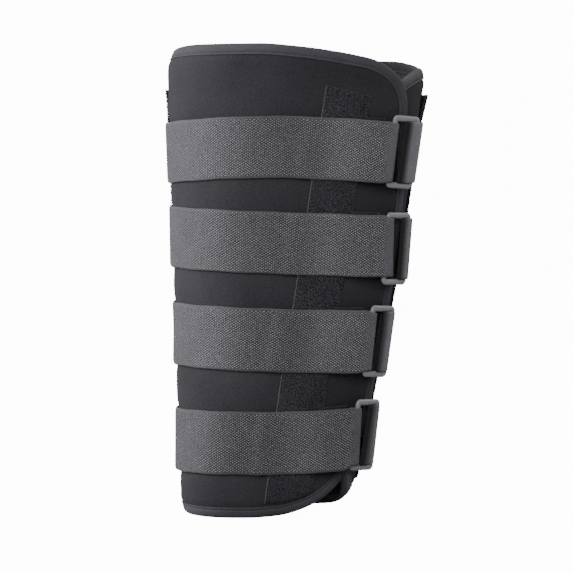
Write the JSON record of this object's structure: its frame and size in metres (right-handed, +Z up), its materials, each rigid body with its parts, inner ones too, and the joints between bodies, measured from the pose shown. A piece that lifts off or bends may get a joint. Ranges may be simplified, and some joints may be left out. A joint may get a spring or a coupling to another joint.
{
  "type": "lower leg splint",
  "caption": "Padded wrap splint for the lower leg: a tapered tube with a rounded overlapping front flap, closed by wide loop pile straps folded through plastic rings.",
  "frame": {"origin": "centre of the bounding box, on the floor plane under the lower hem", "axes": "+Z up along the tube, -Y the front face with the flap, +X the side the flap closes towards"},
  "size_m": [0.2194, 0.1634, 0.3977],
  "materials": {
    "foam_cloth": "black foam laminate with a short matt nap",
    "binding_tape": "dark grey knitted binding tape",
    "loop_pile": "black loop pile",
    "strap_pile": "grey loop pile webbing",
    "ring_plastic": "grey moulded plastic",
    "tape_weave": "grey woven tape",
    "hook_tape": "black hook tape"
  },
  "bodies": {
    "root": {"sleeve_panel": "foam_cloth", "edge_binding": "binding_tape", "front_loop_strip": "loop_pile", "side_strip_left": "loop_pile", "side_strip_right": "loop_pile", "strap_1": "strap_pile", "ring_1": "ring_plastic", "ring_loop_1": "tape_weave", "hook_tab_1": "hook_tape", "strap_2": "strap_pile", "ring_2": "ring_plastic", "ring_loop_2": "tape_weave", "hook_tab_2": "hook_tape", "strap_3": "strap_pile", "ring_3": "ring_plastic", "ring_loop_3": "tape_weave", "hook_tab_3": "hook_tape", "strap_4": "strap_pile", "ring_4": "ring_plastic", "ring_loop_4": "tape_weave", "hook_tab_4": "hook_tape"}
  },
  "joints": []
}
